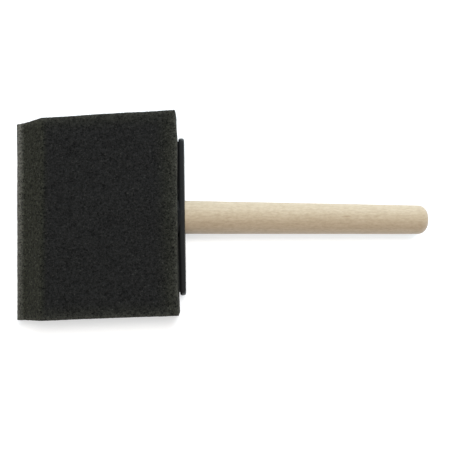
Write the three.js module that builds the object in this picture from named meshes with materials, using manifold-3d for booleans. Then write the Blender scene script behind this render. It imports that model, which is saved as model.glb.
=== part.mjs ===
// Foam sponge brush: a bevelled foam block slit and glued over a moulded plastic core,
// whose socket holds a tapered wooden dowel handle.
// Millimetres. +X runs from the foam's tip to the handle's butt, +Y across the brush, and +Z up.
// The brush lies on the foam's lower face at Z = 0, with the origin midway along its length.

import * as THREE from "three";
import { mergeVertices } from "three/addons/utils/BufferGeometryUtils.js";
import Module from "manifold-3d";

const wasm = await Module();
wasm.setup();

// Whole brush
const OVERALL_LENGTH = 209.2;
const GAP = 0.3;
const CUT_OVERRUN = 1;
const ROUND_SIDES = 48;
const ARC_STEPS = 8;
const EDGE_STEPS = 3;
const MERGE_TOLERANCE = 1e-4;

// Foam block, with a chisel tip bevelled from both faces. The bevel is gentler on the land at the tip
const FOAM_LENGTH = 81.3;
const FOAM_WIDTH = 101.6;
const FOAM_THICKNESS = 25.4;
const BEVEL_LENGTH = 13.7;
const LAND_LENGTH = 4.4;
const LAND_THICKNESS = 8;
const TIP_THICKNESS = 3.8;

// Core flange: the plate on the foam's back edge, a round boss with a tapering wing to each side
const FLANGE_WIDTH = 80.4;
const FLANGE_DEPTH = 3.1;
const FLANGE_STANDOFF = 0.4;
const FLANGE_ROUNDING = 1;
const BOSS_RADIUS = 10.3;
const WING_END_RADIUS = 4;

// Core blade: the windowed plate inside the foam. Window places are from the foam's back edge
const BLADE_LENGTH = 58;
const BLADE_ROOT_WIDTH = 77;
const BLADE_FRONT_WIDTH = 70;
const BLADE_THICKNESS = 2.2;
const BLADE_CORNER_RADIUS = 11;
const WINDOW_LENGTH = 12;
const WINDOW_WIDTH = 15;
const WINDOW_CORNER_RADIUS = 3.5;
const WINDOW_X = [-16, -34];
const WINDOW_Y = 24;

// Grip ribs across both faces of the blade, ahead of the windows
const RIB_X = [-45.5, -49, -52.5];
const RIB_SPAN = 52;
const RIB_HEIGHT = 0.7;
const RIB_BASE = 1.8;

// Handle: it leans a little towards -Y, and the socket follows it
const HANDLE_LEAN = THREE.MathUtils.degToRad(1.38);
const HANDLE_Y = -0.4;
const DOWEL_ROOT_RADIUS = 8.5;
const DOWEL_BUTT_RADIUS = 7.45;
const DOWEL_INSET = 36;
const DOWEL_CHAMFER = 1;
const BUTT_ROUNDING = 5;

// Socket in the core, with a tapered nose that spreads the foam
const SOCKET_WALL = 1.4;
const SOCKET_END_WALL = 2;
const NOSE_LENGTH = 11;
const NOSE_TIP_RADIUS = 3;

// Glue: a patch on each face of the blade to each side of the socket, and a disc in the socket
const PATCH_THICKNESS = 0.4;
const PATCH_LENGTH = 40;
const PATCH_WIDTH = 20;
const PATCH_CORNER_RADIUS = 4;
const PATCH_BACK_MARGIN = 2;
const PATCH_Y = 23.5;
const SOCKET_GLUE_THICKNESS = 1.2;

// Values worked out from the driving dimensions
const TIP_X = -OVERALL_LENGTH / 2;
const BUTT_X = OVERALL_LENGTH / 2;
const FOAM_BACK_X = TIP_X + FOAM_LENGTH;
const MID_Z = FOAM_THICKNESS / 2;
const FLANGE_X = FOAM_BACK_X + FLANGE_STANDOFF;
const MOUTH_X = FLANGE_X + FLANGE_DEPTH;
const WING_REACH = FLANGE_WIDTH / 2 - WING_END_RADIUS;
const BORE_RADIUS = DOWEL_ROOT_RADIUS + GAP;
const SOCKET_RADIUS = BORE_RADIUS + SOCKET_WALL;
const BORE_DEPTH = DOWEL_INSET + SOCKET_GLUE_THICKNESS + 2 * GAP;
const SOCKET_LENGTH = BORE_DEPTH + SOCKET_END_WALL;
const BUTT_FLAT_RADIUS = DOWEL_BUTT_RADIUS - BUTT_ROUNDING;
const DOWEL_REACH =
  (BUTT_X - MOUTH_X - BUTT_FLAT_RADIUS * Math.sin(HANDLE_LEAN)) / Math.cos(HANDLE_LEAN);
const POCKET_HEIGHT = BLADE_THICKNESS + 2 * PATCH_THICKNESS + 4 * GAP;

const foamMaterial = new THREE.MeshStandardMaterial({
  color: 0x262625,
  roughness: 0.95,
  metalness: 0,
});
const plasticMaterial = new THREE.MeshStandardMaterial({
  color: 0x232426,
  roughness: 0.3,
  metalness: 0,
});
const woodMaterial = new THREE.MeshStandardMaterial({
  color: 0xd9c9b2,
  roughness: 0.6,
  metalness: 0,
});
const glueMaterial = new THREE.MeshStandardMaterial({
  color: 0xd8cfae,
  roughness: 0.35,
  metalness: 0,
});

// A closed three.js geometry as a solid that can be joined and cut.
function solidFrom(geometry) {
  const bare = geometry.clone();
  bare.deleteAttribute("normal");
  bare.deleteAttribute("uv");
  const merged = mergeVertices(bare, MERGE_TOLERANCE);
  return new wasm.Manifold(
    new wasm.Mesh({
      numProp: 3,
      vertProperties: merged.attributes.position.array,
      triVerts: new Uint32Array(merged.index.array),
    }),
  );
}

// A solid as a flat-shaded three.js geometry.
function geometryFrom(solid) {
  const mesh = solid.getMesh();
  const indexed = new THREE.BufferGeometry();
  indexed.setAttribute("position", new THREE.BufferAttribute(mesh.vertProperties, 3));
  indexed.setIndex(new THREE.BufferAttribute(mesh.triVerts, 1));
  const geometry = indexed.toNonIndexed();
  geometry.computeVertexNormals();
  return geometry;
}

// A rectangle with rounded corners, traced as a path.
function traceRoundedRectangle(path, centreX, centreY, width, height, radius) {
  const left = centreX - width / 2;
  const right = centreX + width / 2;
  const low = centreY - height / 2;
  const high = centreY + height / 2;
  path.moveTo(left + radius, low);
  path.lineTo(right - radius, low);
  path.absarc(right - radius, low + radius, radius, -Math.PI / 2, 0, false);
  path.lineTo(right, high - radius);
  path.absarc(right - radius, high - radius, radius, 0, Math.PI / 2, false);
  path.lineTo(left + radius, high);
  path.absarc(left + radius, high - radius, radius, Math.PI / 2, Math.PI, false);
  path.lineTo(left, low + radius);
  path.absarc(left + radius, low + radius, radius, Math.PI, 1.5 * Math.PI, false);
  return path;
}

// A plate of the given XY outline, centred on the brush's middle plane.
function midPlate(shape, thickness) {
  const geometry = new THREE.ExtrudeGeometry(shape, {
    depth: thickness,
    bevelEnabled: false,
    curveSegments: ARC_STEPS,
  });
  return geometry.translate(0, 0, MID_Z - thickness / 2);
}

// A turned solid on the handle's axis. Each profile point is (radius, distance from the mouth).
function turned(profile) {
  const points = profile.map(([radius, along]) => new THREE.Vector2(radius, along));
  const geometry = new THREE.LatheGeometry(points, ROUND_SIDES);
  return geometry.rotateZ(-Math.PI / 2);
}

// Moves a turned solid from the handle's own frame to its place in the core.
function onHandleAxis(geometry) {
  geometry.rotateZ(-HANDLE_LEAN);
  return geometry.translate(MOUTH_X, HANDLE_Y, MID_Z);
}

// The blade's outline, grown by a clearance on the sides and the front, with or without windows.
function bladeShape(clearance, backX, withWindows) {
  const frontX = FOAM_BACK_X - BLADE_LENGTH - clearance;
  const rootY = BLADE_ROOT_WIDTH / 2 + clearance;
  const frontY = BLADE_FRONT_WIDTH / 2 + clearance;
  const shape = new THREE.Shape();
  shape.moveTo(backX, -rootY);
  shape.lineTo(backX, rootY);
  shape.lineTo(frontX + BLADE_CORNER_RADIUS, frontY);
  shape.quadraticCurveTo(frontX, frontY, frontX, frontY - BLADE_CORNER_RADIUS);
  shape.lineTo(frontX, BLADE_CORNER_RADIUS - frontY);
  shape.quadraticCurveTo(frontX, -frontY, frontX + BLADE_CORNER_RADIUS, -frontY);
  shape.closePath();
  if (withWindows) {
    for (const x of WINDOW_X) {
      for (const y of [-WINDOW_Y, WINDOW_Y]) {
        shape.holes.push(
          traceRoundedRectangle(
            new THREE.Path(),
            FOAM_BACK_X + x,
            y,
            WINDOW_LENGTH,
            WINDOW_WIDTH,
            WINDOW_CORNER_RADIUS,
          ),
        );
      }
    }
  }
  return shape;
}

// The outside of the socket, with its closed nose, grown by a clearance.
function socketOutside(clearance, mouth) {
  return onHandleAxis(
    turned([
      [0, -SOCKET_LENGTH - NOSE_LENGTH - clearance],
      [NOSE_TIP_RADIUS + clearance, -SOCKET_LENGTH - NOSE_LENGTH - clearance],
      [SOCKET_RADIUS + clearance, -SOCKET_LENGTH],
      [SOCKET_RADIUS + clearance, mouth],
      [0, mouth],
    ]),
  );
}

// A grip rib of triangular section across the blade, on its upper or lower face.
function gripRib(x, side) {
  const section = new THREE.Shape();
  section.moveTo(-RIB_BASE / 2, 0);
  section.lineTo(RIB_BASE / 2, 0);
  section.lineTo(RIB_BASE / 2, BLADE_THICKNESS / 2);
  section.lineTo(0, BLADE_THICKNESS / 2 + RIB_HEIGHT);
  section.lineTo(-RIB_BASE / 2, BLADE_THICKNESS / 2);
  section.closePath();
  const geometry = new THREE.ExtrudeGeometry(section, {
    depth: RIB_SPAN,
    bevelEnabled: false,
  });
  geometry.translate(0, 0, -RIB_SPAN / 2);
  geometry.rotateX((side * Math.PI) / 2);
  return geometry.translate(FOAM_BACK_X + x, 0, MID_Z);
}

// The foam block, with the slit and the round pocket that take the core and its glue.
function foamHead() {
  const profile = new THREE.Shape();
  profile.moveTo(FOAM_BACK_X, 0);
  profile.lineTo(FOAM_BACK_X, FOAM_THICKNESS);
  profile.lineTo(TIP_X + BEVEL_LENGTH, FOAM_THICKNESS);
  profile.lineTo(TIP_X + LAND_LENGTH, MID_Z + LAND_THICKNESS / 2);
  profile.lineTo(TIP_X, MID_Z + TIP_THICKNESS / 2);
  profile.lineTo(TIP_X, MID_Z - TIP_THICKNESS / 2);
  profile.lineTo(TIP_X + LAND_LENGTH, MID_Z - LAND_THICKNESS / 2);
  profile.lineTo(TIP_X + BEVEL_LENGTH, 0);
  profile.closePath();
  const block = new THREE.ExtrudeGeometry(profile, {
    depth: FOAM_WIDTH,
    bevelEnabled: false,
  });
  block.rotateX(Math.PI / 2);
  block.translate(0, FOAM_WIDTH / 2, 0);

  const slit = midPlate(bladeShape(GAP, FOAM_BACK_X + CUT_OVERRUN, false), POCKET_HEIGHT);
  const pocket = socketOutside(GAP, CUT_OVERRUN);
  return geometryFrom(
    solidFrom(block).subtract(solidFrom(slit)).subtract(solidFrom(pocket)),
  );
}

// The flange plate, with its edges rounded. Straight sides run tangent from the boss to the wings.
function flange() {
  const tangent = Math.acos((BOSS_RADIUS - WING_END_RADIUS) / WING_REACH);
  const outline = new THREE.Shape();
  outline.absarc(WING_REACH, 0, WING_END_RADIUS, -tangent, tangent, false);
  outline.absarc(0, 0, BOSS_RADIUS, tangent, Math.PI - tangent, false);
  outline.absarc(-WING_REACH, 0, WING_END_RADIUS, Math.PI - tangent, Math.PI + tangent, false);
  outline.absarc(0, 0, BOSS_RADIUS, Math.PI + tangent, 2 * Math.PI - tangent, false);
  const geometry = new THREE.ExtrudeGeometry(outline, {
    depth: FLANGE_DEPTH - 2 * FLANGE_ROUNDING,
    bevelThickness: FLANGE_ROUNDING,
    bevelSize: FLANGE_ROUNDING,
    bevelOffset: -FLANGE_ROUNDING,
    bevelSegments: EDGE_STEPS,
    curveSegments: ARC_STEPS,
  });
  const outlineToBack = new THREE.Matrix4().makeBasis(
    new THREE.Vector3(0, 1, 0),
    new THREE.Vector3(0, 0, 1),
    new THREE.Vector3(1, 0, 0),
  );
  geometry.applyMatrix4(outlineToBack);
  return geometry.translate(FLANGE_X + FLANGE_ROUNDING, 0, MID_Z);
}

// The core moulding: flange, windowed blade, grip ribs and socket in one piece.
function coreMoulding() {
  const bladeBackX = FLANGE_X + FLANGE_DEPTH / 2;
  let core = solidFrom(flange());
  core = core.add(solidFrom(midPlate(bladeShape(0, bladeBackX, true), BLADE_THICKNESS)));
  for (const x of RIB_X) {
    core = core.add(solidFrom(gripRib(x, 1)));
    core = core.add(solidFrom(gripRib(x, -1)));
  }
  core = core.add(solidFrom(socketOutside(0, -FLANGE_DEPTH / 2)));
  const bore = onHandleAxis(
    turned([
      [0, -BORE_DEPTH],
      [BORE_RADIUS, -BORE_DEPTH],
      [BORE_RADIUS, CUT_OVERRUN],
      [0, CUT_OVERRUN],
    ]),
  );
  return geometryFrom(core.subtract(solidFrom(bore)));
}

// The dowel: chamfered inner end, straight in the socket, tapered outside, rounded butt.
function dowel() {
  const profile = [
    [0, -DOWEL_INSET],
    [DOWEL_ROOT_RADIUS - DOWEL_CHAMFER, -DOWEL_INSET],
    [DOWEL_ROOT_RADIUS, DOWEL_CHAMFER - DOWEL_INSET],
    [DOWEL_ROOT_RADIUS, 0],
  ];
  for (let step = 0; step <= ARC_STEPS; step += 1) {
    const angle = (step / ARC_STEPS) * (Math.PI / 2);
    profile.push([
      BUTT_FLAT_RADIUS + BUTT_ROUNDING * Math.cos(angle),
      DOWEL_REACH - BUTT_ROUNDING + BUTT_ROUNDING * Math.sin(angle),
    ]);
  }
  profile.push([0, DOWEL_REACH]);
  return turned(profile);
}

// The disc of glue at the bottom of the socket, under the dowel's inner end.
function socketGlue() {
  const low = -DOWEL_INSET - GAP - SOCKET_GLUE_THICKNESS;
  const high = -DOWEL_INSET - GAP;
  return turned([
    [0, low],
    [DOWEL_ROOT_RADIUS, low],
    [DOWEL_ROOT_RADIUS, high],
    [0, high],
  ]);
}

// A patch of glue between the blade and the foam. Face is 1 above the blade and -1 below it,
// and hand is 1 on the +Y side of the socket and -1 on the -Y side.
function gluePatch(face, hand) {
  const outline = traceRoundedRectangle(
    new THREE.Shape(),
    FOAM_BACK_X - PATCH_BACK_MARGIN - PATCH_LENGTH / 2,
    hand * PATCH_Y,
    PATCH_LENGTH,
    PATCH_WIDTH,
    PATCH_CORNER_RADIUS,
  );
  const patch = midPlate(outline, PATCH_THICKNESS);
  return patch.translate(0, 0, face * (BLADE_THICKNESS / 2 + GAP + PATCH_THICKNESS / 2));
}

function mesh(name, geometry, material) {
  const made = new THREE.Mesh(geometry, material.clone());
  made.name = name;
  return made;
}

const brush = new THREE.Group();
brush.add(mesh("foam_head", foamHead(), foamMaterial));
brush.add(mesh("core_moulding", coreMoulding(), plasticMaterial));
brush.add(mesh("foam_glue_upper_left", gluePatch(1, 1), glueMaterial));
brush.add(mesh("foam_glue_upper_right", gluePatch(1, -1), glueMaterial));
brush.add(mesh("foam_glue_lower_left", gluePatch(-1, 1), glueMaterial));
brush.add(mesh("foam_glue_lower_right", gluePatch(-1, -1), glueMaterial));

const handle = new THREE.Group();
handle.position.set(MOUTH_X, HANDLE_Y, MID_Z);
handle.rotation.z = -HANDLE_LEAN;
handle.add(mesh("dowel_handle", dowel(), woodMaterial));
handle.add(mesh("socket_glue", socketGlue(), glueMaterial));
brush.add(handle);

export default brush;
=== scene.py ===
"""Looks of the foam sponge brush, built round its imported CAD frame.

Metres. +X runs from the foam's tip to the handle's butt, +Y across the brush, +Z up.
"""

import math

import bpy
import numpy as np
from mathutils import Matrix, Vector, noise


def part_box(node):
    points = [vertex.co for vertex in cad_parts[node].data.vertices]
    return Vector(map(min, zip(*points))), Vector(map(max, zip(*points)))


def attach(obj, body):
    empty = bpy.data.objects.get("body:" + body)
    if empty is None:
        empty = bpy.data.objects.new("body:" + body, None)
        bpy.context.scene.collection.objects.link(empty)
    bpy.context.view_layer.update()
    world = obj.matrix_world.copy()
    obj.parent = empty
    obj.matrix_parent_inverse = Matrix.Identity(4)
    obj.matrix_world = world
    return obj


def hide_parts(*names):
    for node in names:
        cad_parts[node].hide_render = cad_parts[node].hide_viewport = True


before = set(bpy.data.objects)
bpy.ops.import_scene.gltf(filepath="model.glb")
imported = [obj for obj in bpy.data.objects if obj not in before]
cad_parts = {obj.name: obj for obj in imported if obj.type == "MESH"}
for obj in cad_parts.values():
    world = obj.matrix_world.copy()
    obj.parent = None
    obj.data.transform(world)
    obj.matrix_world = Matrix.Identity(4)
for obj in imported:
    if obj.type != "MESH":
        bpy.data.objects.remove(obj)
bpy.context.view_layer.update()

MM = 0.001

FOAM_LOW, FOAM_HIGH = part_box("foam_head")
CORE_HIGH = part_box("core_moulding")[1]
DOWEL_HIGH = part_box("dowel_handle")[1]
MID_Z = (FOAM_LOW.z + FOAM_HIGH.z) / 2
HALF_THICKNESS = (FOAM_HIGH.z - FOAM_LOW.z) / 2

# Foam: the chisel tip, as distances from the tip and half heights there
LAND_LENGTH = 4.4 * MM
BEVEL_LENGTH = 13.7 * MM
TIP_HALF_HEIGHT = 1.9 * MM
LAND_HALF_HEIGHT = 3.5 * MM
NOSE_ROUNDING = 1.3 * MM
RIDGE_SOFTNESS = 0.15 * MM
# How far the cut block is out of square. The shifts are at the tip, the ridge and the back edge
PLUS_SIDE_SHIFT = (-2.85 * MM, -1.58 * MM, 1.95 * MM)
MINUS_SIDE_SHIFT = (-0.3 * MM, -0.2 * MM, 0.95 * MM)
PLUS_END_SHIFT = (-0.28 * MM, 0.8 * MM, -0.7 * MM)
MINUS_END_SHIFT = (-0.22 * MM, -0.45 * MM, 0.0)
FOAM_EDGE_RADIUS = 0.35 * MM
FOAM_STEPS = (156, 195, 44)
# The foam swells over the socket, and its back edge leans over the flange. LIP_DEPTHS is how
# far it leans at the -Y and +Y sides, and LIP_RISE where it starts above the flange
BULGE_HEIGHT = 1.2 * MM
BULGE_REACH = (26 * MM, 15 * MM)
LIP_DEPTHS = (-0.75 * MM, 0.8 * MM)
LIP_REACH = 41 * MM
LIP_FADE = 6 * MM
LIP_RISE = (0.2 * MM, 1.6 * MM)
SOCKET_LIP = 0.3 * MM
SOCKET_LIP_REACH = 10 * MM
# Slow waves of the surface, which fade out near the face that it lies on, and its open cells
WAVE_HEIGHT = 0.25 * MM
WAVE_LENGTH = 17 * MM
WAVE_FADE = 3 * MM
CELL_SIZE = 0.95 * MM
CELL_DEPTH = 0.28 * MM
CELL_SHUFFLE = 7.3
LEAST_OPENNESS = 0.65
OPENNESS_SPREAD = 0.35
STRUT_SLOPE = 2.4
FRAY_LENGTH = 0.55 * MM
FRAY_DEPTH = 0.16 * MM
# Where the material changes: a painted highlight on the edges and tip, and an olive tint that
# is also painted light, lighter on the bevel, back and sides, given as the distances between
# which it fades, and its strength
EDGE_FADE = 1.6 * MM
RIDGE_WIDTH = 0.7 * MM
GLOW_FADE = 0.5 * MM
GLOW_AT_MINUS_SIDE = 0.45
# The olive tint is also painted light: the bevel, back and sides come out lighter
OLIVE_AND_LIT_PAST_RIDGE = (-1 * MM, 4 * MM, 1.0)
OLIVE_AND_LIT_FROM_BACK = (2 * MM, 12 * MM, 0.65)
OLIVE_AND_LIT_FROM_SIDE = (1 * MM, 9 * MM, 0.4)

# Core moulding
FLANGE_WIDTH = 80.4 * MM
FLANGE_DEPTH = 3.1 * MM
FLANGE_FRONT_ROUNDING = 1.2 * MM
FLANGE_BACK_ROUNDING = 1.3 * MM
FLANGE_RIM = 0.2 * MM
BOSS_RADIUS = 10.3 * MM
WING_END_RADIUS = 4 * MM
WING_REACH = FLANGE_WIDTH / 2 - WING_END_RADIUS
PIN_MARK_RADIUS = 1.4 * MM
PIN_MARK_DEPTH = 0.15 * MM
PIN_MARK_Y = (-29 * MM, -16 * MM, 16 * MM, 29 * MM)
PIN_MARK_SIDES = 32
WING_END_STEPS = 20
BOSS_STEPS = 6
SHARP_ANGLE = math.radians(32)
BLADE_LENGTH = 58 * MM
BLADE_ROOT_WIDTH = 77 * MM
BLADE_FRONT_WIDTH = 70 * MM
BLADE_THICKNESS = 2.2 * MM
BLADE_CORNER_RADIUS = 11 * MM
WINDOW_SIZE = (12 * MM, 15 * MM)
WINDOW_CORNER_RADIUS = 3.5 * MM
WINDOW_X = (-16 * MM, -34 * MM)
WINDOW_Y = 24 * MM
WINDOW_CUT = 6 * MM
RIB_X = (-45.5 * MM, -49 * MM, -52.5 * MM)
RIB_SPAN = 52 * MM
RIB_HEIGHT = 0.7 * MM
RIB_BASE = 1.8 * MM
SOCKET_WALL = 1.4 * MM
SOCKET_END_WALL = 2 * MM
NOSE_LENGTH = 11 * MM
NOSE_TIP_RADIUS = 3 * MM
CLEARANCE = 0.3 * MM
OVERRUN = 3 * MM

# Glue
PATCH_THICKNESS = 0.4 * MM
PATCH_STEPS = (80, 40, 2)
PATCH_SHARE = 0.9
PATCH_WANDER = 0.1
PATCH_LOBES = 3
SOCKET_GLUE_THICKNESS = 1.2 * MM

# Handle
HANDLE_LEAN = math.radians(1.38)
HANDLE_Y = -0.4 * MM
DOWEL_ROOT_RADIUS = 8.5 * MM
DOWEL_BUTT_RADIUS = 7.45 * MM
DOWEL_INSET = 36 * MM
DOWEL_CHAMFER = 1 * MM
DOWEL_STRETCHES = 120
BUTT_ROUNDING = 5 * MM
BUTT_STEPS = 20
DENT_LENGTH = 19 * MM
DENT_WIDTH = 6 * MM
DENT_DEPTH = 0.07 * MM
ROUND_SIDES = 128
HIDDEN_ROUND_SIDES = 64
MOUTH = Vector((CORE_HIGH.x, HANDLE_Y, MID_Z))
BORE_DEPTH = DOWEL_INSET + SOCKET_GLUE_THICKNESS + 2 * CLEARANCE
BORE_RADIUS = DOWEL_ROOT_RADIUS + CLEARANCE

# Linear colours. The first of a pair is the darker
# The foam's darker tones are painted shade in its pores, and darker random clumps
FOAM_TONES = ((0.0015, 0.0015, 0.0015), (0.0195, 0.0187, 0.0178))
CUT_AND_LIT_TONES = ((0.001, 0.001, 0.0007), (0.0303, 0.0306, 0.0202))
PAINTED_GLOW_TONES = ((0.025, 0.0235, 0.0195), (0.172, 0.162, 0.137))
FOAM_SHEEN_TINT = (1, 0.96, 0.85, 1)
PLASTIC_TONES = ((0.0105, 0.0105, 0.0105), (0.0145, 0.0143, 0.014))
WOOD_TONES = ((0.370, 0.276, 0.178), (0.450, 0.344, 0.231), (0.515, 0.405, 0.288))
WOOD_PORE = (0.30, 0.21, 0.125, 1)
WOOD_FLECK = (0.27, 0.17, 0.09, 1)
GLUE_TONES = ((0.50, 0.42, 0.24), (0.68, 0.60, 0.40))
# The shift that puts the growth rings' middle beside the handle, and one dark streak
RING_SHIFT = (0, -13 * MM, -6 * MM)
STREAK_PLACE = Vector((61 * MM, -1.5 * MM, MID_Z + 7.8 * MM))
STREAK_SIZE = (2.8 * MM, 0.5 * MM, 3 * MM)

# Light
FLOOR_REACH = 6.0
FLOOR_GLOW = 0.54
FLOOR_ALBEDO = 0.6
SKY_GLOW = 0.32
HORIZON_GLOW = 0.85
HORIZON_HEIGHT = 0.35
KEY_PLACE = (0.12, 0.26, 1.3)
KEY_SIZE = 0.35
KEY_POWER = 12
KEY_COLOUR = (1.0, 0.985, 0.955)
SIDE_PLACE = (0.3, 1.4, 0.7)
SIDE_SIZE = 1.0
SIDE_POWER = 29
SIDE_COLOUR = (0.62, 0.84, 1.0)

# Camera
CAMERA_TARGET = Vector((0.4 * MM, -4.63 * MM, MID_Z))
CAMERA_DISTANCE = 0.4
CAMERA_PITCH = math.radians(2.9)
CAMERA_YAW = math.radians(-2.0)
CAMERA_ROLL = math.radians(-0.9)
CAMERA_LENS = 62.6


def smooth_step(low, high, values):
    """0 below low, 1 above high, and a smooth rise between them."""
    t = np.clip((values - low) / (high - low), 0, 1)
    return t * t * (3 - 2 * t)


def mesh_object(name, points, faces, smooth=True):
    """A mesh object from its points and faces, shaded smooth or flat."""
    data = bpy.data.meshes.new(name)
    data.from_pydata([tuple(p) for p in points], [], [tuple(f) for f in faces])
    data.validate()
    data.polygons.foreach_set("use_smooth", [smooth] * len(data.polygons))
    made = bpy.data.objects.new(name, data)
    bpy.context.scene.collection.objects.link(made)
    return made


def read_points(piece):
    """The piece's vertices as an array."""
    flat = np.empty(len(piece.data.vertices) * 3, np.float32)
    piece.data.vertices.foreach_get("co", flat)
    return flat.reshape(-1, 3).astype(float)


def write_points(piece, points):
    """Puts an array of points back into the piece's vertices."""
    piece.data.vertices.foreach_set("co", points.astype(np.float32).ravel())
    piece.data.update()


def write_marks(piece, name, values):
    """Stores one number for each of the piece's vertices, for its material to read."""
    layer = piece.data.attributes.new(name, "FLOAT", "POINT")
    layer.data.foreach_set("value", values.astype(np.float32))


def read_normals(piece):
    """The piece's vertex normals as an array."""
    flat = np.empty(len(piece.data.vertices) * 3, np.float32)
    piece.data.vertex_normals.foreach_get("vector", flat)
    return flat.reshape(-1, 3).astype(float)


def apply_modifiers(piece):
    """Replaces the piece's mesh by its evaluated one and drops its modifiers."""
    graph = bpy.context.evaluated_depsgraph_get()
    made = bpy.data.meshes.new_from_object(piece.evaluated_get(graph))
    old = piece.data
    piece.modifiers.clear()
    piece.data = made
    bpy.data.meshes.remove(old)


def cut_or_join(piece, others, operation):
    """Joins the others to the piece, or cuts them out of it, and removes them."""
    for other in others:
        boolean = piece.modifiers.new("boolean", "BOOLEAN")
        boolean.operation = operation
        boolean.solver = "EXACT"
        boolean.object = other
        apply_modifiers(piece)
        bpy.data.objects.remove(other)
    return piece


def grid_box(steps):
    """The surface of a unit cube as a grid of steps = (x, y, z) quads along its sides."""
    corners = []
    for axis in range(3):
        u, v = (axis + 1) % 3, (axis + 2) % 3
        across, along = np.meshgrid(np.arange(steps[u]), np.arange(steps[v]), indexing="ij")
        for end in (0, steps[axis]):
            quads = np.zeros((across.size, 4, 3), int)
            quads[:, :, axis] = end
            turns = ((0, 0), (1, 0), (1, 1), (0, 1))
            for corner, (du, dv) in enumerate(turns if end else reversed(turns)):
                quads[:, corner, u] = across.ravel() + du
                quads[:, corner, v] = along.ravel() + dv
            corners.append(quads)
    corners = np.concatenate(corners)
    places, faces = np.unique(corners.reshape(-1, 3), axis=0, return_inverse=True)
    return places / np.array(steps, float), faces.reshape(-1, 4)


def rounded_box(points, low, high, radius):
    """Maps a unit cube's points to a box with its edges and corners rounded."""
    low, high = np.array(low), np.array(high)
    placed = low + points * (high - low)
    inner = np.clip(placed, low + radius, high - radius)
    away = placed - inner
    length = np.linalg.norm(away, axis=1, keepdims=True)
    return inner + away * radius / np.maximum(length, 1e-12)


def lathe(name, profile, sides=ROUND_SIDES):
    """A solid turned about X from (x, radius) points that start and end on the axis."""
    angles = np.linspace(0, 2 * math.pi, sides, endpoint=False)
    rings = profile[1:-1]
    points = [(profile[0][0], 0, 0)]
    for x, radius in rings:
        for angle in angles:
            points.append((x, radius * math.cos(angle), radius * math.sin(angle)))
    points.append((profile[-1][0], 0, 0))
    faces = []
    last = len(points) - 1
    for side in range(sides):
        after = (side + 1) % sides
        faces.append((0, 1 + after, 1 + side))
        for ring in range(len(rings) - 1):
            base = 1 + ring * sides
            faces.append((base + side, base + after, base + sides + after, base + sides + side))
        base = 1 + (len(rings) - 1) * sides
        faces.append((last, base + side, base + after))
    return mesh_object(name, points, faces)


def arc(centre, radius, start, end, steps):
    """Points of an arc as (x, radius) pairs, angles in degrees from +X."""
    made = []
    for step in range(steps + 1):
        angle = math.radians(start + (end - start) * step / steps)
        made.append((centre[0] + radius * math.cos(angle), centre[1] + radius * math.sin(angle)))
    return made


def on_handle_axis(piece):
    """Moves a piece turned about X, its origin at the socket's mouth, onto the handle's axis."""
    piece.data.transform(Matrix.Translation(MOUTH) @ Matrix.Rotation(-HANDLE_LEAN, 4, "Z"))
    return piece


def extruded(name, outline, thickness):
    """A plate of an XY outline, centred on the brush's middle plane."""
    count = len(outline)
    low = [(x, y, MID_Z - thickness / 2) for x, y in outline]
    high = [(x, y, MID_Z + thickness / 2) for x, y in outline]
    faces = [tuple(reversed(range(count))), tuple(range(count, 2 * count))]
    for start in range(count):
        after = (start + 1) % count
        faces.append((start, after, count + after, count + start))
    return mesh_object(name, low + high, faces, smooth=False)


def rounded_outline(corners, radii, steps=8):
    """A counter-clockwise outline with each corner rounded by a quadratic curve."""
    made = []
    count = len(corners)
    for place, (corner, radius) in enumerate(zip(corners, radii)):
        here = Vector(corner)
        if radius == 0:
            made.append(tuple(here))
            continue
        before = Vector(corners[place - 1]) - here
        after = Vector(corners[(place + 1) % count]) - here
        start = here + before.normalized() * radius
        end = here + after.normalized() * radius
        for step in range(steps + 1):
            t = step / steps
            made.append(tuple(start * (1 - t) ** 2 + here * 2 * t * (1 - t) + end * t * t))
    return made


def blade_outline(grow, back_x):
    """The blade's outline seen from above, grown by a clearance."""
    front_x = FOAM_HIGH.x - BLADE_LENGTH - grow
    root = BLADE_ROOT_WIDTH / 2 + grow
    front = BLADE_FRONT_WIDTH / 2 + grow
    corners = [(back_x, -root), (back_x, root), (front_x, front), (front_x, -front)]
    return rounded_outline(corners, (0, 0, BLADE_CORNER_RADIUS, BLADE_CORNER_RADIUS))


def socket_profile(grow, mouth):
    """The outside of the socket and its closed nose as (x, radius) from the mouth."""
    length = BORE_DEPTH + SOCKET_END_WALL
    radius = BORE_RADIUS + SOCKET_WALL + grow
    tip = NOSE_TIP_RADIUS + grow
    return [
        (-length - NOSE_LENGTH - grow, 0),
        (-length - NOSE_LENGTH - grow, tip),
        (-length, radius),
        (mouth, radius),
        (mouth, 0),
    ]


# Foam ----------------------------------------------------------------------------------------


def tip_half_height(along):
    """Half the foam's height at a distance from the tip: rounded nose, short land, then bevel."""
    knots = (0, LAND_LENGTH, BEVEL_LENGTH)
    rising = np.interp(along, knots, (TIP_HALF_HEIGHT, LAND_HALF_HEIGHT, HALF_THICKNESS))
    slope = (HALF_THICKNESS - LAND_HALF_HEIGHT) / (BEVEL_LENGTH - LAND_LENGTH)
    beyond = (along - BEVEL_LENGTH) * slope
    line = np.where(along > BEVEL_LENGTH, HALF_THICKNESS + beyond, rising)
    spare = HALF_THICKNESS - line
    height = HALF_THICKNESS - (np.hypot(spare, RIDGE_SOFTNESS) + spare) / 2
    turn = np.clip(1 - along / NOSE_ROUNDING, 0, 1)
    return height - NOSE_ROUNDING * (1 - np.sqrt(1 - turn**2))


def flange_half_height(y):
    """Half the flange's height at a place across the brush."""
    share = np.clip(np.abs(y) / WING_REACH, 0, 1)
    return BOSS_RADIUS + (WING_END_RADIUS - BOSS_RADIUS) * share


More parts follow.
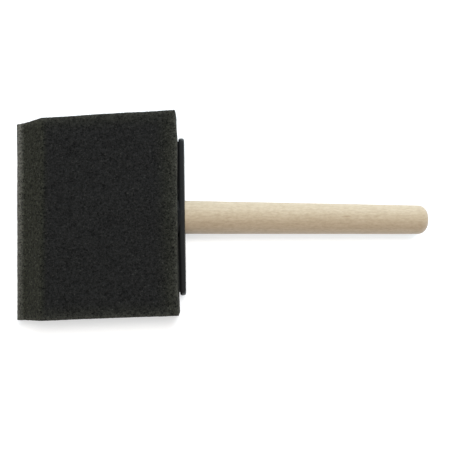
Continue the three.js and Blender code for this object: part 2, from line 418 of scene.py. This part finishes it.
def foam_form(points):
    """Shapes a plain rounded block into the bevelled, slightly skewed and bulging foam."""
    x, y, z = points.T
    knots = (FOAM_LOW.x, FOAM_LOW.x + BEVEL_LENGTH, FOAM_HIGH.x)
    share = (y - FOAM_LOW.y) / (FOAM_HIGH.y - FOAM_LOW.y)
    side_shift = np.interp(x, knots, MINUS_SIDE_SHIFT) * (1 - share)
    side_shift += np.interp(x, knots, PLUS_SIDE_SHIFT) * share
    end_shift = np.interp(x, knots, MINUS_END_SHIFT) * (1 - share)
    end_shift += np.interp(x, knots, PLUS_END_SHIFT) * share

    rise = (z - MID_Z) / HALF_THICKNESS
    nearness = smooth_step(FOAM_HIGH.x - LIP_FADE, FOAM_HIGH.x, x)
    above = np.abs(z - MID_Z) - flange_half_height(y)
    clear_of_flange = smooth_step(*LIP_RISE, above)
    beside_end = smooth_step(LIP_REACH - LIP_FADE, LIP_REACH + LIP_FADE, np.abs(y))
    lip = LIP_DEPTHS[0] * (1 - share) + LIP_DEPTHS[1] * share
    lip = lip * (1 - beside_end) + SOCKET_LIP * np.exp(-((y / SOCKET_LIP_REACH) ** 2))
    end_shift += lip * nearness * clear_of_flange

    bulge = np.exp(-(((x - FOAM_HIGH.x) / BULGE_REACH[0]) ** 2) - (y / BULGE_REACH[1]) ** 2)
    height = tip_half_height(x - FOAM_LOW.x)
    shaped_z = MID_Z + rise * height + BULGE_HEIGHT * bulge * np.clip(rise, 0, 1)
    return np.stack([x + end_shift, y + side_shift, shaped_z], axis=1)


def foam_relief(points):
    """Slow waves, and how deep the open cells are at each point: 0 on a strut, 1 in a pore."""
    waves = np.empty(len(points))
    pores = np.empty(len(points))
    for place, point in enumerate(points):
        waves[place] = WAVE_HEIGHT * noise.noise(Vector(point / WAVE_LENGTH))
        distances, centres = noise.voronoi(Vector(point / CELL_SIZE))
        openness = LEAST_OPENNESS + OPENNESS_SPREAD * noise.cell(centres[0] * CELL_SHUFFLE)
        fray = FRAY_DEPTH / CELL_DEPTH * noise.noise(Vector(point / FRAY_LENGTH))
        pores[place] = openness * min(1, STRUT_SLOPE * (distances[1] - distances[0])) + fray
    return waves, np.clip(pores, 0, 1)


def add_relief(foam):
    """Works the waves and the open cells into the foam's surface, and returns the cells' depths."""
    points = read_points(foam)
    waves, pores = foam_relief(points)
    free = smooth_step(0, WAVE_FADE, points[:, 2] - FOAM_LOW.z)
    lift = waves * free - pores * CELL_DEPTH
    points += read_normals(foam) * lift[:, None]
    points[:, 2] = np.maximum(points[:, 2], FOAM_LOW.z)
    write_points(foam, points)
    return pores


def tint_near(distance, near, far, strength):
    """The strength up to a near distance from an edge, fading to nothing at a far one."""
    return strength * (1 - smooth_step(near, far, distance))


def mark_foam(foam, block, pores):
    """Stores where the foam's painted highlights, olive tint with painted light and pores are."""
    along = block[:, 0] - FOAM_LOW.x
    to_side = FOAM_HIGH.y - np.abs(block[:, 1])
    to_back = FOAM_HIGH.x - block[:, 0]
    to_face = HALF_THICKNESS - np.abs(block[:, 2] - MID_Z)
    nearest = np.sort(np.stack([to_side, np.minimum(to_back, along), to_face]), axis=0)
    # Painted highlight along all edges
    write_marks(foam, "edge", np.exp(-nearest[1] / EDGE_FADE))

    share = (block[:, 1] - FOAM_LOW.y) / (FOAM_HIGH.y - FOAM_LOW.y)
    # Painted highlight along the tip, stronger towards +Y, the side the light comes from
    painted_glow = tint_near(along, GLOW_FADE, LAND_LENGTH + GLOW_FADE, 1)
    write_marks(foam, "tip", painted_glow * (GLOW_AT_MINUS_SIDE + (1 - GLOW_AT_MINUS_SIDE) * share))

    # An olive tint that is also painted light: the bevel, back and sides come out lighter
    olive_and_lit = tint_near(along - BEVEL_LENGTH, *OLIVE_AND_LIT_PAST_RIDGE)
    olive_and_lit = np.maximum(olive_and_lit, tint_near(to_back, *OLIVE_AND_LIT_FROM_BACK))
    olive_and_lit = np.maximum(olive_and_lit, tint_near(to_side, *OLIVE_AND_LIT_FROM_SIDE))
    write_marks(foam, "olive_and_lit", olive_and_lit)
    # Painted highlight along the ridge
    write_marks(foam, "ridge", np.exp(-(((along - BEVEL_LENGTH) / RIDGE_WIDTH) ** 2)))
    write_marks(foam, "pore", pores)


def make_foam():
    """The foam block with its bevelled tip, cell relief and the pocket for the core."""
    places, faces = grid_box(FOAM_STEPS)
    block = rounded_box(places, FOAM_LOW, FOAM_HIGH, FOAM_EDGE_RADIUS)
    foam = mesh_object("foam_block", foam_form(block), faces)
    mark_foam(foam, block, add_relief(foam))

    slit_height = BLADE_THICKNESS + 2 * PATCH_THICKNESS + 4 * CLEARANCE
    slit = extruded("slit", blade_outline(CLEARANCE, FOAM_HIGH.x + OVERRUN), slit_height)
    profile = socket_profile(CLEARANCE, OVERRUN)
    pocket = on_handle_axis(lathe("pocket", profile, HIDDEN_ROUND_SIDES))
    return cut_or_join(foam, [slit, pocket], "DIFFERENCE")


# Core moulding -------------------------------------------------------------------------------


def flange_outline(inset):
    """The flange's outline as (y, z) points about its centre, moved inwards by an inset."""
    tangent = math.acos((BOSS_RADIUS - WING_END_RADIUS) / WING_REACH)
    half_turn = math.pi
    stretches = (
        (WING_REACH, WING_END_RADIUS, -tangent, tangent, WING_END_STEPS),
        (0, BOSS_RADIUS, tangent, half_turn - tangent, BOSS_STEPS),
        (-WING_REACH, WING_END_RADIUS, half_turn - tangent, half_turn + tangent, WING_END_STEPS),
        (0, BOSS_RADIUS, half_turn + tangent, 2 * half_turn - tangent, BOSS_STEPS),
    )
    made = []
    for centre, radius, start, end, steps in stretches:
        for step in range(steps + 1):
            angle = start + (end - start) * step / steps
            reach = radius - inset
            made.append((centre + reach * math.cos(angle), reach * math.sin(angle)))
    return made


def edge_arc(radius, steps=10):
    """A rounded edge as (depth, inset) pairs: from the face's side round to the plate's outline."""
    made = []
    for step in range(steps + 1):
        angle = math.pi / 2 * step / steps
        made.append((radius * (1 - math.cos(angle)), radius * (1 - math.sin(angle))))
    return made


def make_flange():
    """The plate on the foam's back edge: a boss with two tapering wings, its edges rounded."""
    rings = [(0, FLANGE_FRONT_ROUNDING + FLANGE_RIM)]
    rings += edge_arc(FLANGE_FRONT_ROUNDING)
    rings += [(FLANGE_DEPTH - x, inset) for x, inset in reversed(edge_arc(FLANGE_BACK_ROUNDING))]
    rings.append((FLANGE_DEPTH, FLANGE_BACK_ROUNDING + FLANGE_RIM))
    points = []
    for x, inset in rings:
        points += [(MOUTH.x - FLANGE_DEPTH + x, y, MID_Z + z) for y, z in flange_outline(inset)]
    count = len(points) // len(rings)
    faces = [tuple(reversed(range(count))), tuple(range(len(points) - count, len(points)))]
    for ring in range(len(rings) - 1):
        base = ring * count
        for here in range(count):
            after = (here + 1) % count
            faces.append((base + here, base + after, base + count + after, base + count + here))
    return mesh_object("core_paddle", points, faces)


def make_core():
    """The whole core moulding: flange, windowed blade, grip ribs and socket."""
    core = make_flange()
    mid_flange = -FLANGE_DEPTH / 2
    added = [extruded("blade", blade_outline(0, MOUTH.x + mid_flange), BLADE_THICKNESS)]
    for rib_x in RIB_X:
        for side in (1, -1):
            added.append(grip_rib(FOAM_HIGH.x + rib_x, side))
    added.append(on_handle_axis(lathe("socket", socket_profile(0, mid_flange))))
    cut_or_join(core, added, "UNION")

    cutters = []
    for x in WINDOW_X:
        for y in (-WINDOW_Y, WINDOW_Y):
            cutters.append(window(FOAM_HIGH.x + x, y))
    bore = [(-BORE_DEPTH, 0), (-BORE_DEPTH, BORE_RADIUS), (OVERRUN, BORE_RADIUS), (OVERRUN, 0)]
    cutters.append(on_handle_axis(lathe("bore", bore)))
    for y in PIN_MARK_Y:
        cutters.append(pin_mark(y))
    cut_or_join(core, cutters, "DIFFERENCE")
    core.data.polygons.foreach_set("use_smooth", [True] * len(core.data.polygons))
    core.data.set_sharp_from_angle(angle=SHARP_ANGLE)
    return core


def pin_mark(y):
    """A cutter for the shallow round mark that an ejector pin leaves on the flange's back."""
    profile = [
        (-PIN_MARK_DEPTH, 0),
        (-PIN_MARK_DEPTH, PIN_MARK_RADIUS),
        (OVERRUN, PIN_MARK_RADIUS),
        (OVERRUN, 0),
    ]
    mark = lathe("pin_mark", profile, PIN_MARK_SIDES)
    mark.data.transform(Matrix.Translation((MOUTH.x, y, MID_Z)))
    return mark


def window(x, y):
    """A cutter for one window through the blade."""
    half_x, half_y = WINDOW_SIZE[0] / 2, WINDOW_SIZE[1] / 2
    corners = [
        (x - half_x, y - half_y),
        (x + half_x, y - half_y),
        (x + half_x, y + half_y),
        (x - half_x, y + half_y),
    ]
    outline = rounded_outline(corners, [WINDOW_CORNER_RADIUS] * len(corners))
    return extruded("window", outline, WINDOW_CUT)


def grip_rib(x, side):
    """A ridge of triangular section across one face of the blade."""
    face = MID_Z + side * BLADE_THICKNESS / 2
    section = [
        (x - RIB_BASE / 2, MID_Z),
        (x + RIB_BASE / 2, MID_Z),
        (x + RIB_BASE / 2, face),
        (x, face + side * RIB_HEIGHT),
        (x - RIB_BASE / 2, face),
    ]
    if side < 0:
        section.reverse()
    count = len(section)
    points = [(px, RIB_SPAN / 2, pz) for px, pz in section]
    points += [(px, -RIB_SPAN / 2, pz) for px, pz in section]
    faces = [tuple(reversed(range(count))), tuple(range(count, 2 * count))]
    for start in range(count):
        after = (start + 1) % count
        faces.append((start, after, count + after, count + start))
    return mesh_object("rib", points, faces, smooth=False)


# Handle --------------------------------------------------------------------------------------


def dowel_profile():
    """The dowel's (x, radius) outline: chamfered inner end, slow taper and rounded butt."""
    flat = DOWEL_BUTT_RADIUS - BUTT_ROUNDING
    reach = (DOWEL_HIGH.x - MOUTH.x - flat * math.sin(HANDLE_LEAN)) / math.cos(HANDLE_LEAN)
    straight = reach - BUTT_ROUNDING
    profile = [
        (-DOWEL_INSET, 0),
        (-DOWEL_INSET, DOWEL_ROOT_RADIUS - DOWEL_CHAMFER),
        (DOWEL_CHAMFER - DOWEL_INSET, DOWEL_ROOT_RADIUS),
        (0, DOWEL_ROOT_RADIUS),
    ]
    for step in range(1, DOWEL_STRETCHES):
        share = step / DOWEL_STRETCHES
        radius = DOWEL_ROOT_RADIUS + (DOWEL_BUTT_RADIUS - DOWEL_ROOT_RADIUS) * share
        profile.append((share * straight, radius))
    profile += arc((straight, flat), BUTT_ROUNDING, 90, 0, BUTT_STEPS)
    profile.append((reach, 0))
    return profile


def make_dowel():
    """The turned dowel, a little uneven where it shows."""
    dowel = lathe("dowel", dowel_profile())
    points = read_points(dowel)
    for place, (x, y, z) in enumerate(points):
        uneven = noise.noise(Vector((x / DENT_LENGTH, y / DENT_WIDTH, z / DENT_WIDTH)))
        outside = min(1, max(0, x / MM))
        points[place, 1:] *= 1 + DENT_DEPTH * uneven * outside / DOWEL_ROOT_RADIUS
    write_points(dowel, points)
    return on_handle_axis(dowel)


# Glue ----------------------------------------------------------------------------------------


def make_patch(node):
    """An uneven film of glue with a wandering outline, inside the space of its node."""
    low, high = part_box(node)
    places, faces = grid_box(PATCH_STEPS)
    points = rounded_box(places, low, high, (high.z - low.z) / 2)
    middle = (low + high) / 2
    for place, point in enumerate(points):
        angle = math.atan2(point[1] - middle.y, point[0] - middle.x)
        lobe = Vector((PATCH_LOBES * math.cos(angle), PATCH_LOBES * math.sin(angle), middle.y / MM))
        shrink = PATCH_SHARE + PATCH_WANDER * noise.noise(lobe)
        points[place, 0] = middle.x + (point[0] - middle.x) * shrink
        points[place, 1] = middle.y + (point[1] - middle.y) * shrink
    return mesh_object(node.replace("foam_glue", "glue_film"), points, faces)


def make_socket_glue():
    """The disc of glue under the dowel's inner end, with a rounded rim and a dished face."""
    back = -DOWEL_INSET - CLEARANCE
    front = back - SOCKET_GLUE_THICKNESS
    rounding = SOCKET_GLUE_THICKNESS / 2
    rim = (back - rounding, DOWEL_ROOT_RADIUS - rounding)
    profile = [(front, 0), *arc(rim, rounding, 180, 0, 8), (back - rounding / 2, 0)]
    return on_handle_axis(lathe("glue_disc", profile, HIDDEN_ROUND_SIDES))


# Materials -----------------------------------------------------------------------------------


class Nodes:
    """A small helper that builds one procedural material."""

    def __init__(self, name):
        self.material = bpy.data.materials.new(name)
        self.material.use_nodes = True
        self.tree = self.material.node_tree
        self.shader = self.tree.nodes["Principled BSDF"]

    def put(self, socket, value):
        """Links a socket into an input, or sets the input's value."""
        if isinstance(value, bpy.types.NodeSocket):
            self.tree.links.new(value, socket)
        else:
            socket.default_value = value

    def add(self, kind, settings=None, **inputs):
        """Adds a node, sets its properties and its inputs, and returns it."""
        node = self.tree.nodes.new(kind)
        for key, value in (settings or {}).items():
            setattr(node, key, value)
        for key, value in inputs.items():
            self.put(node.inputs[key.replace("_", " ")], value)
        return node

    def look(self, **inputs):
        """Sets inputs of the material's shader."""
        for key, value in inputs.items():
            self.put(self.shader.inputs[key.replace("_", " ")], value)

    def place(self, scale, shift=(0, 0, 0)):
        """The place on the piece, first shifted and then scaled along each axis."""
        source = self.add("ShaderNodeTexCoord").outputs["Object"]
        moved = self.add("ShaderNodeVectorMath", {"operation": "ADD"})
        self.put(moved.inputs[0], source)
        self.put(moved.inputs[1], shift)
        mapping = self.add("ShaderNodeMapping", Vector=moved.outputs["Vector"], Scale=scale)
        return mapping.outputs["Vector"]

    def per_mm(self, x, y=None, z=None):
        """The place on the piece, in so many units per millimetre: y and z are as x if not given."""
        return self.place((x / MM, (y or x) / MM, (z or x) / MM))

    def mark(self, name):
        """A number stored on the mesh."""
        return self.add("ShaderNodeAttribute", {"attribute_name": name}).outputs["Fac"]

    def noise(self, place, detail=3.0, roughness=0.5):
        """Smooth noise about 0.5."""
        node = self.add("ShaderNodeTexNoise", Vector=place, Scale=1.0)
        self.put(node.inputs["Detail"], detail)
        self.put(node.inputs["Roughness"], roughness)
        return node.outputs["Fac"]

    def spread(self, value, low, high, low_to=0.0, high_to=1.0):
        """Stretches a range of values to another, and holds it at both ends."""
        node = self.add(
            "ShaderNodeMapRange",
            Value=value,
            From_Min=low,
            From_Max=high,
            To_Min=low_to,
            To_Max=high_to,
        )
        return node.outputs["Result"]

    def ramp(self, value, *stops):
        """A colour ramp through (position, colour) stops."""
        node = self.add("ShaderNodeValToRGB", Fac=value)
        elements = node.color_ramp.elements
        while len(elements) < len(stops):
            elements.new(1)
        for element, (position, colour) in zip(elements, stops):
            element.position = position
            element.color = (*colour, 1)
        return node.outputs["Color"]

    def mix(self, factor, a, b):
        """Mixes two colours."""
        node = self.add("ShaderNodeMix", {"data_type": "RGBA"})
        for place, value in ((0, factor), (6, a), (7, b)):
            self.put(node.inputs[place], value)
        return node.outputs[2]

    def math(self, operation, a, b=0.0):
        """One arithmetic step."""
        node = self.add("ShaderNodeMath", {"operation": operation})
        self.put(node.inputs[0], a)
        self.put(node.inputs[1], b)
        return node.outputs[0]

    def blend(self, *parts):
        """The sum of (value, weight) parts."""
        total = 0.0
        for value, weight in parts:
            total = self.math("ADD", self.math("MULTIPLY", value, weight), total)
        return total

    def bump(self, height, depth):
        """Fine relief of the given depth in metres."""
        node = self.add("ShaderNodeBump", Strength=1.0, Distance=depth, Height=height)
        self.look(Normal=node.outputs["Normal"])


def foam_material():
    """Charcoal open-cell foam: a net of struts with painted shade in the pores, and painted light on
    bevel, edges and tip.
    """
    made = Nodes("charcoal_foam")
    cells = made.add(
        "ShaderNodeTexVoronoi",
        {"feature": "DISTANCE_TO_EDGE"},
        Vector=made.per_mm(1),
        Scale=1.1,
    )
    # The cells' middles and the mesh's deep cells come out darker: painted shade in the pores
    strut = made.spread(cells.outputs["Distance"], 0.02, 0.3, 1.0, 0.0)
    clumps = made.noise(made.per_mm(0.85), detail=3.0, roughness=0.6)
    fine = made.noise(made.per_mm(2.2), detail=2.0)
    closed = made.math("SUBTRACT", 1.0, made.mark("pore"))
    grain = made.blend((strut, 0.15), (clumps, 0.65), (fine, 0.3), (closed, 0.12))
    middle = made.ramp(grain, (0.45, FOAM_TONES[0]), (0.82, FOAM_TONES[1]))
    # The olive tones are also painted light, paler than the middle's
    cut = made.ramp(grain, (0.51, CUT_AND_LIT_TONES[0]), (0.80, CUT_AND_LIT_TONES[1]))
    painted_glow = made.ramp(grain, (0.47, PAINTED_GLOW_TONES[0]), (0.80, PAINTED_GLOW_TONES[1]))
    olive_and_lit = made.mark("olive_and_lit")
    tone = made.mix(olive_and_lit, middle, cut)
    # Paler where the painted highlight falls on edges, tip and ridge
    made.look(Base_Color=made.mix(foam_painted_glow(made, olive_and_lit), tone, painted_glow))
    made.look(Roughness=0.95, Specular_IOR_Level=0.1)
    made.look(Sheen_Weight=0.03, Sheen_Roughness=0.6, Sheen_Tint=FOAM_SHEEN_TINT)
    made.bump(grain, 0.35 * MM)
    return made.material


def foam_painted_glow(made, olive_and_lit):
    """How strong the painted highlight is on the foam's edges and tip, with scattered glints on torn
    cells.
    """
    ridge = made.mark("ridge")
    edge = made.mark("edge")
    tip = made.mark("tip")
    # Painted highlight on the ridge, the edges and the tip
    glow_share = made.blend((ridge, 0.055), (edge, 0.3), (tip, 1.0))
    glints = made.noise(made.per_mm(1.3), detail=1.0)
    glints = made.spread(glints, 0.62, 0.74, 0.0, 0.2)
    glints = made.math("MULTIPLY", glints, made.spread(olive_and_lit, 0.0, 1.0, 0.8, 2.0))
    return made.math("MAXIMUM", glow_share, glints)


def plastic_material():
    """Black injection-moulded polypropylene with a fine moulded grain."""
    made = Nodes("black_polypropylene")
    grain = made.noise(made.per_mm(7), detail=2.0)
    flow = made.noise(made.per_mm(0.05, 0.02, 0.12), detail=2.0)
    made.look(Base_Color=made.ramp(flow, (0.3, PLASTIC_TONES[0]), (0.7, PLASTIC_TONES[1])))
    made.look(Roughness=made.spread(flow, 0.3, 0.7, 0.14, 0.2), Specular_IOR_Level=0.4)
    made.bump(grain, 0.02 * MM)
    return made.material


def wood_figure(made, fibres):
    """Birch's figure: fibres and mottling, and faint growth rings."""
    wander = made.noise(made.per_mm(0.012, 0.05, 0.05), detail=2.0)
    rings = made.add(
        "ShaderNodeTexWave",
        {"wave_type": "RINGS", "rings_direction": "X", "wave_profile": "SAW"},
        Vector=made.place((0.3 / MM, 1 / MM, 1 / MM), RING_SHIFT),
        Scale=0.16,
        Distortion=made.spread(wander, 0.3, 0.7, 0.5, 2.5),
        Detail=2.0,
    )
    mottle = made.noise(made.per_mm(0.45, 1.1, 1.1), detail=4.0, roughness=0.6)
    return made.blend((fibres, 0.35), (mottle, 0.6), (rings.outputs["Fac"], 0.05))


def wood_streak(made):
    """One short darker streak along the grain: 0 round it and 0.5 at its middle."""
    scale = [1 / size for size in STREAK_SIZE]
    place = made.place(scale, -STREAK_PLACE)
    streak = made.add("ShaderNodeTexGradient", {"gradient_type": "SPHERICAL"}, Vector=place)
    return made.spread(streak.outputs["Fac"], 0.0, 0.8, 0.0, 0.5)


def wood_material():
    """Pale unvarnished birch: its figure, open pores, short dark flecks and one streak."""
    made = Nodes("birch")
    fibres = made.noise(made.per_mm(0.12, 2.2, 2.2), detail=4.0, roughness=0.65)
    stops = zip((0.32, 0.50, 0.68), WOOD_TONES)
    tone = made.ramp(wood_figure(made, fibres), *stops)
    pores = made.noise(made.per_mm(0.4, 4.5, 4.5), detail=1.0)
    pores = made.spread(pores, 0.6, 0.72, 0.0, 0.35)
    tone = made.mix(pores, tone, WOOD_PORE)
    flecks = made.noise(made.per_mm(0.32, 3.4, 3.4), detail=2.0)
    flecks = made.spread(flecks, 0.66, 0.78, 0.0, 0.45)
    tone = made.mix(flecks, tone, WOOD_FLECK)
    made.look(Base_Color=made.mix(wood_streak(made), tone, WOOD_FLECK))
    made.look(Roughness=made.spread(fibres, 0.3, 0.7, 0.42, 0.6), Specular_IOR_Level=0.6)
    made.look(Sheen_Weight=0.08, Sheen_Roughness=0.4)
    made.bump(fibres, 0.05 * MM)
    return made.material


def glue_material():
    """Amber hot-melt glue, slightly clouded."""
    made = Nodes("hot_glue")
    cloud = made.noise(made.per_mm(0.5), detail=3.0)
    made.look(Base_Color=made.ramp(cloud, (0.3, GLUE_TONES[0]), (0.7, GLUE_TONES[1])))
    made.look(Roughness=0.35, Subsurface_Weight=0.2, Subsurface_Scale=1 * MM)
    made.bump(cloud, 0.1 * MM)
    return made.material


def floor_material():
    """A plain white floor, lit a little from below like a shooting table."""
    made = Nodes("floor")
    made.look(Base_Color=(FLOOR_ALBEDO, FLOOR_ALBEDO, FLOOR_ALBEDO, 1))
    made.look(Roughness=1.0, Specular_IOR_Level=0.0)
    made.look(Emission_Color=(1, 1, 1, 1), Emission_Strength=FLOOR_GLOW)
    return made.material


# Stage ---------------------------------------------------------------------------------------


def area_light(name, place, size, power, colour):
    """A square soft light aimed at the brush."""
    data = bpy.data.lights.new(name, "AREA")
    data.size = size
    data.energy = power
    data.color = colour
    light = bpy.data.objects.new(name, data)
    bpy.context.scene.collection.objects.link(light)
    light.location = place
    light.rotation_euler = (-Vector(place)).to_track_quat("-Z", "Y").to_euler()
    return light


def make_sky():
    """Soft white light from all round, brighter towards the horizon like a studio's walls."""
    world = bpy.data.worlds.new("studio")
    world.use_nodes = True
    tree = world.node_tree
    place = tree.nodes.new("ShaderNodeTexCoord")
    axes = tree.nodes.new("ShaderNodeSeparateXYZ")
    glow = tree.nodes.new("ShaderNodeMapRange")
    background = tree.nodes["Background"]
    background.inputs["Color"].default_value = (1, 1, 1, 1)
    glow.inputs["From Max"].default_value = HORIZON_HEIGHT
    glow.inputs["To Min"].default_value = HORIZON_GLOW
    glow.inputs["To Max"].default_value = SKY_GLOW
    tree.links.new(place.outputs["Generated"], axes.inputs[0])
    tree.links.new(axes.outputs["Z"], glow.inputs["Value"])
    tree.links.new(glow.outputs["Result"], background.inputs["Strength"])
    return world


def make_stage():
    """The floor, the world light and the soft lights."""
    turns = ((-1, -1), (1, -1), (1, 1), (-1, 1))
    corners = [(x * FLOOR_REACH, y * FLOOR_REACH, 0) for x, y in turns]
    floor = mesh_object("floor", corners, [(0, 1, 2, 3)])
    floor.data.materials.append(floor_material())
    bpy.context.scene.world = make_sky()
    key = area_light("key", KEY_PLACE, KEY_SIZE, KEY_POWER, KEY_COLOUR)
    side = area_light("side", SIDE_PLACE, SIDE_SIZE, SIDE_POWER, SIDE_COLOUR)
    # No glints of the lights on the plastic, as with a polarising filter
    key.visible_glossy = False
    side.visible_glossy = False
    bpy.context.scene.view_settings.view_transform = "Standard"


def make_camera():
    """The camera above the brush, a few degrees off the vertical."""
    back = Vector((
        math.sin(CAMERA_YAW) * math.cos(CAMERA_PITCH),
        -math.sin(CAMERA_PITCH),
        math.cos(CAMERA_YAW) * math.cos(CAMERA_PITCH),
    ))
    right = Vector((0, 1, 0)).cross(back).normalized()
    up = back.cross(right)
    turned = Matrix((right, up, back)).transposed() @ Matrix.Rotation(CAMERA_ROLL, 3, "Z")
    data = bpy.data.cameras.new("camera")
    data.lens = CAMERA_LENS
    camera = bpy.data.objects.new("camera", data)
    bpy.context.scene.collection.objects.link(camera)
    place = CAMERA_TARGET + back * CAMERA_DISTANCE
    camera.matrix_world = Matrix.Translation(place) @ turned.to_4x4()
    bpy.context.scene.camera = camera


def dress(piece, material, node):
    """Gives a piece its material, puts it on the root body and hides the CAD part that it replaces.
    """
    piece.data.materials.clear()
    piece.data.materials.append(material)
    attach(piece, "root")
    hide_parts(node)
    return piece


make_camera()
make_stage()
foam = dress(make_foam(), foam_material(), "foam_head")
dress(make_core(), plastic_material(), "core_moulding")
dress(make_dowel(), wood_material(), "dowel_handle")
glue = glue_material()
dress(make_socket_glue(), glue, "socket_glue")
for node in sorted(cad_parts):
    if node.startswith("foam_glue"):
        dress(make_patch(node), glue, node)
